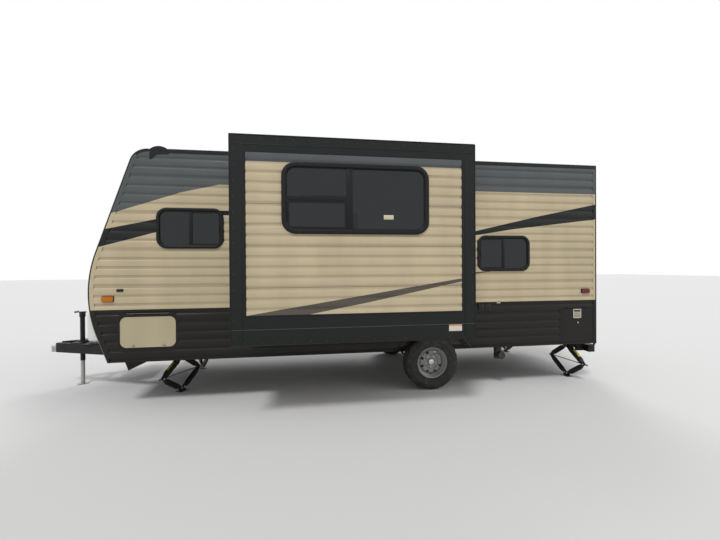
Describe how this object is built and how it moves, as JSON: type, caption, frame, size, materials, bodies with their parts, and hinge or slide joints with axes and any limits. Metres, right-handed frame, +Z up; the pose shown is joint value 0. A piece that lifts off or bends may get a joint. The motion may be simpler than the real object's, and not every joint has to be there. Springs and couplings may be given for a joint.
{
  "type": "travel caravan",
  "caption": "Travel caravan with a curved nose, ribbed siding, a slide-out room, hinged doors and stabiliser jacks, standing as parked.",
  "frame": {"origin": "on the ground under the middle of the whole trailer's box, slide-out room extended", "axes": "+X to the rear, +Y to the kerb side with the entry door, +Z up"},
  "size_m": [7.602, 3.417, 3.28],
  "materials": {
    "siding": "satin ribbed sheet",
    "front_skin": "satin",
    "roof_membrane": "matt membrane",
    "floor_board": "sealed board",
    "black_trim": "satin",
    "window_frame": "semi-gloss",
    "glass": "tinted",
    "chassis_paint": "satin",
    "jack_steel": "worn satin",
    "bright_steel": "zinc plated",
    "tyre_rubber": "matt",
    "wheel_paint": "semi-gloss",
    "aluminium": "mill finish",
    "white_plastic": "semi-gloss",
    "black_plastic": "grained",
    "amber_lens": "moulded lens",
    "red_lens": "moulded lens",
    "awning_guard": "semi-gloss guard round the roll",
    "door_skin": "satin",
    "bottle_paint": "gloss",
    "slide_siding": "satin ribbed sheet",
    "slide_panel": "satin"
  },
  "bodies": {
    "caravan": {"chassis_frame": "chassis_paint", "coupler": "bright_steel", "axle_and_springs": "chassis_paint", "floor_deck": "floor_board", "road_side_wall": "siding", "kerb_side_wall": "siding", "front_wall": "front_skin", "rear_wall": "siding", "roof": "roof_membrane", "trims_and_hinges": "black_trim", "roof_air_conditioner": "white_plastic", "vents_and_hatches": "white_plastic", "window_frames": "window_frame", "window_panes": "glass", "tongue_jack_tube": "jack_steel", "gas_bottles": "bottle_paint", "battery_box": "black_plastic", "amber_lamps": "amber_lens", "red_lamps": "red_lens", "awning": "awning_guard"},
    "slide_room": {"slide_shell": "slide_panel", "slide_face": "slide_siding", "slide_fascia": "black_trim", "slide_window_frame": "window_frame", "slide_window_panes": "glass"},
    "entry_door": {"entry_door": "siding", "entry_door_pane": "glass"},
    "entry_step": {"entry_step": "jack_steel"},
    "road_baggage_door": {"road_baggage_door": "door_skin"},
    "kerb_baggage_door": {"kerb_baggage_door": "door_skin"},
    "access_door": {"access_door": "black_trim"},
    "road_wheel": {"road_tyre": "tyre_rubber", "road_rim": "wheel_paint"},
    "kerb_wheel": {"kerb_tyre": "tyre_rubber", "kerb_rim": "wheel_paint"},
    "tongue_jack_leg": {"tongue_jack_leg": "bright_steel"},
    "front_road_upper_arm_out": {"front_road_upper_arm_out": "jack_steel"},
    "front_road_upper_arm_in": {"front_road_upper_arm_in": "jack_steel"},
    "front_road_lower_arm_out": {"front_road_lower_arm_out": "jack_steel"},
    "front_road_lower_arm_in": {"front_road_lower_arm_in": "jack_steel"},
    "front_road_foot": {"front_road_foot": "jack_steel"},
    "front_road_screw": {"front_road_screw": "bright_steel"},
    "front_kerb_upper_arm_out": {"front_kerb_upper_arm_out": "jack_steel"},
    "front_kerb_upper_arm_in": {"front_kerb_upper_arm_in": "jack_steel"},
    "front_kerb_lower_arm_out": {"front_kerb_lower_arm_out": "jack_steel"},
    "front_kerb_lower_arm_in": {"front_kerb_lower_arm_in": "jack_steel"},
    "front_kerb_foot": {"front_kerb_foot": "jack_steel"},
    "front_kerb_screw": {"front_kerb_screw": "bright_steel"},
    "rear_road_upper_arm_out": {"rear_road_upper_arm_out": "jack_steel"},
    "rear_road_upper_arm_in": {"rear_road_upper_arm_in": "jack_steel"},
    "rear_road_lower_arm_out": {"rear_road_lower_arm_out": "jack_steel"},
    "rear_road_lower_arm_in": {"rear_road_lower_arm_in": "jack_steel"},
    "rear_road_foot": {"rear_road_foot": "jack_steel"},
    "rear_road_screw": {"rear_road_screw": "bright_steel"},
    "rear_kerb_upper_arm_out": {"rear_kerb_upper_arm_out": "jack_steel"},
    "rear_kerb_upper_arm_in": {"rear_kerb_upper_arm_in": "jack_steel"},
    "rear_kerb_lower_arm_out": {"rear_kerb_lower_arm_out": "jack_steel"},
    "rear_kerb_lower_arm_in": {"rear_kerb_lower_arm_in": "jack_steel"},
    "rear_kerb_foot": {"rear_kerb_foot": "jack_steel"},
    "rear_kerb_screw": {"rear_kerb_screw": "bright_steel"}
  },
  "joints": [
    {"name": "slide_room_travel", "type": "slide", "parent": "caravan", "child": "slide_room", "axis": [0, 1, 0], "range_m": [0, 0.826]},
    {"name": "entry_door_hinge", "type": "hinge", "parent": "caravan", "child": "entry_door", "pos_m": [-0.224, 1.6, 1.6], "axis": [0, 0, 1], "range_deg": [0, 150]},
    {"name": "entry_step_hinge", "type": "hinge", "parent": "caravan", "child": "entry_step", "pos_m": [0.109, 1.5135, 0.492], "axis": [1, 0, 0], "range_deg": [0, 180]},
    {"name": "tongue_jack_travel", "type": "slide", "parent": "caravan", "child": "tongue_jack_leg", "axis": [0, 0, 1], "range_m": [0, 0.3]},
    {"name": "road_baggage_door_hinge", "type": "hinge", "parent": "caravan", "child": "road_baggage_door", "pos_m": [-2.141, -0.853, 1.078], "axis": [-1, 0, 0], "range_deg": [0, 105]},
    {"name": "kerb_baggage_door_hinge", "type": "hinge", "parent": "caravan", "child": "kerb_baggage_door", "pos_m": [-2.141, 1.6, 1.078], "axis": [1, 0, 0], "range_deg": [0, 105]},
    {"name": "access_door_hinge", "type": "hinge", "parent": "caravan", "child": "access_door", "pos_m": [3.3685, -0.853, 1.033], "axis": [-1, 0, 0], "range_deg": [0, 105]},
    {"name": "road_wheel_spin", "type": "hinge", "parent": "caravan", "child": "road_wheel", "pos_m": [1.299, -0.704, 0.358], "axis": [0, 1, 0], "continuous": true},
    {"name": "kerb_wheel_spin", "type": "hinge", "parent": "caravan", "child": "kerb_wheel", "pos_m": [1.299, 1.451, 0.358], "axis": [0, 1, 0], "continuous": true},
    {"name": "front_road_stabiliser_fold", "type": "hinge", "parent": "caravan", "child": "front_road_upper_arm_out", "pos_m": [-1.95156, -0.24416, 0.44], "axis": [-0.9063, 0.4226, 0], "range_deg": [0, 26]},
    {"name": "front_road_upper_arm_in_turn", "type": "hinge", "parent": "caravan", "child": "front_road_upper_arm_in", "pos_m": [-1.93043, -0.19884, 0.44], "axis": [-0.9063, 0.4226, 0], "range_deg": [-26, 0]},
    {"name": "front_road_lower_arm_out_turn", "type": "hinge", "parent": "front_road_upper_arm_out", "child": "front_road_lower_arm_out", "pos_m": [-2.08379, -0.52772, 0.2425], "axis": [-0.9063, 0.4226, 0], "range_deg": [-52, 0]},
    {"name": "front_road_lower_arm_in_turn", "type": "hinge", "parent": "front_road_upper_arm_in", "child": "front_road_lower_arm_in", "pos_m": [-1.79821, 0.08472, 0.2425], "axis": [-0.9063, 0.4226, 0], "range_deg": [0, 52]},
    {"name": "front_road_screw_turn", "type": "hinge", "parent": "front_road_upper_arm_out", "child": "front_road_screw", "pos_m": [-2.08379, -0.52772, 0.2425], "axis": [-0.9063, 0.4226, 0], "range_deg": [-26, 0]},
    {"name": "front_road_foot_turn", "type": "hinge", "parent": "front_road_lower_arm_out", "child": "front_road_foot", "pos_m": [-1.95156, -0.24416, 0.045], "axis": [-0.9063, 0.4226, 0], "range_deg": [0, 26]},
    {"name": "front_kerb_stabiliser_fold", "type": "hinge", "parent": "caravan", "child": "front_kerb_upper_arm_out", "pos_m": [-1.95156, 0.99116, 0.44], "axis": [0.9063, 0.4226, 0], "range_deg": [0, 26]},
    {"name": "front_kerb_upper_arm_in_turn", "type": "hinge", "parent": "caravan", "child": "front_kerb_upper_arm_in", "pos_m": [-1.93043, 0.94584, 0.44], "axis": [0.9063, 0.4226, 0], "range_deg": [-26, 0]},
    {"name": "front_kerb_lower_arm_out_turn", "type": "hinge", "parent": "front_kerb_upper_arm_out", "child": "front_kerb_lower_arm_out", "pos_m": [-2.08379, 1.27472, 0.2425], "axis": [0.9063, 0.4226, 0], "range_deg": [-52, 0]},
    {"name": "front_kerb_lower_arm_in_turn", "type": "hinge", "parent": "front_kerb_upper_arm_in", "child": "front_kerb_lower_arm_in", "pos_m": [-1.79821, 0.66228, 0.2425], "axis": [0.9063, 0.4226, 0], "range_deg": [0, 52]},
    {"name": "front_kerb_screw_turn", "type": "hinge", "parent": "front_kerb_upper_arm_out", "child": "front_kerb_screw", "pos_m": [-2.08379, 1.27472, 0.2425], "axis": [0.9063, 0.4226, 0], "range_deg": [-26, 0]},
    {"name": "front_kerb_foot_turn", "type": "hinge", "parent": "front_kerb_lower_arm_out", "child": "front_kerb_foot", "pos_m": [-1.95156, 0.99116, 0.045], "axis": [0.9063, 0.4226, 0], "range_deg": [0, 26]},
    {"name": "rear_road_stabiliser_fold", "type": "hinge", "parent": "caravan", "child": "rear_road_upper_arm_out", "pos_m": [3.47187, -0.51148, 0.44], "axis": [-0.9994, -0.0349, 0], "range_deg": [0, 26]},
    {"name": "rear_road_upper_arm_in_turn", "type": "hinge", "parent": "caravan", "child": "rear_road_upper_arm_in", "pos_m": [3.47013, -0.46152, 0.44], "axis": [-0.9994, -0.0349, 0], "range_deg": [-26, 0]},
    {"name": "rear_road_lower_arm_out_turn", "type": "hinge", "parent": "rear_road_upper_arm_out", "child": "rear_road_lower_arm_out", "pos_m": [3.48279, -0.82417, 0.2425], "axis": [-0.9994, -0.0349, 0], "range_deg": [-52, 0]},
    {"name": "rear_road_lower_arm_in_turn", "type": "hinge", "parent": "rear_road_upper_arm_in", "child": "rear_road_lower_arm_in", "pos_m": [3.45921, -0.14883, 0.2425], "axis": [-0.9994, -0.0349, 0], "range_deg": [0, 52]},
    {"name": "rear_road_screw_turn", "type": "hinge", "parent": "rear_road_upper_arm_out", "child": "rear_road_screw", "pos_m": [3.48279, -0.82417, 0.2425], "axis": [-0.9994, -0.0349, 0], "range_deg": [-26, 0]},
    {"name": "rear_road_foot_turn", "type": "hinge", "parent": "rear_road_lower_arm_out", "child": "rear_road_foot", "pos_m": [3.47187, -0.51148, 0.045], "axis": [-0.9994, -0.0349, 0], "range_deg": [0, 26]},
    {"name": "rear_kerb_stabiliser_fold", "type": "hinge", "parent": "caravan", "child": "rear_kerb_upper_arm_out", "pos_m": [3.47187, 1.25849, 0.44], "axis": [0.9994, -0.0349, 0], "range_deg": [0, 26]},
    {"name": "rear_kerb_upper_arm_in_turn", "type": "hinge", "parent": "caravan", "child": "rear_kerb_upper_arm_in", "pos_m": [3.47013, 1.20852, 0.44], "axis": [0.9994, -0.0349, 0], "range_deg": [-26, 0]},
    {"name": "rear_kerb_lower_arm_out_turn", "type": "hinge", "parent": "rear_kerb_upper_arm_out", "child": "rear_kerb_lower_arm_out", "pos_m": [3.48279, 1.57117, 0.2425], "axis": [0.9994, -0.0349, 0], "range_deg": [-52, 0]},
    {"name": "rear_kerb_lower_arm_in_turn", "type": "hinge", "parent": "rear_kerb_upper_arm_in", "child": "rear_kerb_lower_arm_in", "pos_m": [3.45921, 0.89583, 0.2425], "axis": [0.9994, -0.0349, 0], "range_deg": [0, 52]},
    {"name": "rear_kerb_screw_turn", "type": "hinge", "parent": "rear_kerb_upper_arm_out", "child": "rear_kerb_screw", "pos_m": [3.48279, 1.57117, 0.2425], "axis": [0.9994, -0.0349, 0], "range_deg": [-26, 0]},
    {"name": "rear_kerb_foot_turn", "type": "hinge", "parent": "rear_kerb_lower_arm_out", "child": "rear_kerb_foot", "pos_m": [3.47187, 1.25849, 0.045], "axis": [0.9994, -0.0349, 0], "range_deg": [0, 26]}
  ],
  "couplings": [
    {"joint": "front_road_upper_arm_in_turn", "follows": "front_road_stabiliser_fold", "ratio": -1},
    {"joint": "front_road_lower_arm_out_turn", "follows": "front_road_stabiliser_fold", "ratio": -2},
    {"joint": "front_road_lower_arm_in_turn", "follows": "front_road_stabiliser_fold", "ratio": 2},
    {"joint": "front_road_screw_turn", "follows": "front_road_stabiliser_fold", "ratio": -1},
    {"joint": "front_road_foot_turn", "follows": "front_road_stabiliser_fold", "ratio": 1},
    {"joint": "front_kerb_upper_arm_in_turn", "follows": "front_kerb_stabiliser_fold", "ratio": -1},
    {"joint": "front_kerb_lower_arm_out_turn", "follows": "front_kerb_stabiliser_fold", "ratio": -2},
    {"joint": "front_kerb_lower_arm_in_turn", "follows": "front_kerb_stabiliser_fold", "ratio": 2},
    {"joint": "front_kerb_screw_turn", "follows": "front_kerb_stabiliser_fold", "ratio": -1},
    {"joint": "front_kerb_foot_turn", "follows": "front_kerb_stabiliser_fold", "ratio": 1},
    {"joint": "rear_road_upper_arm_in_turn", "follows": "rear_road_stabiliser_fold", "ratio": -1},
    {"joint": "rear_road_lower_arm_out_turn", "follows": "rear_road_stabiliser_fold", "ratio": -2},
    {"joint": "rear_road_lower_arm_in_turn", "follows": "rear_road_stabiliser_fold", "ratio": 2},
    {"joint": "rear_road_screw_turn", "follows": "rear_road_stabiliser_fold", "ratio": -1},
    {"joint": "rear_road_foot_turn", "follows": "rear_road_stabiliser_fold", "ratio": 1},
    {"joint": "rear_kerb_upper_arm_in_turn", "follows": "rear_kerb_stabiliser_fold", "ratio": -1},
    {"joint": "rear_kerb_lower_arm_out_turn", "follows": "rear_kerb_stabiliser_fold", "ratio": -2},
    {"joint": "rear_kerb_lower_arm_in_turn", "follows": "rear_kerb_stabiliser_fold", "ratio": 2},
    {"joint": "rear_kerb_screw_turn", "follows": "rear_kerb_stabiliser_fold", "ratio": -1},
    {"joint": "rear_kerb_foot_turn", "follows": "rear_kerb_stabiliser_fold", "ratio": 1}
  ]
}
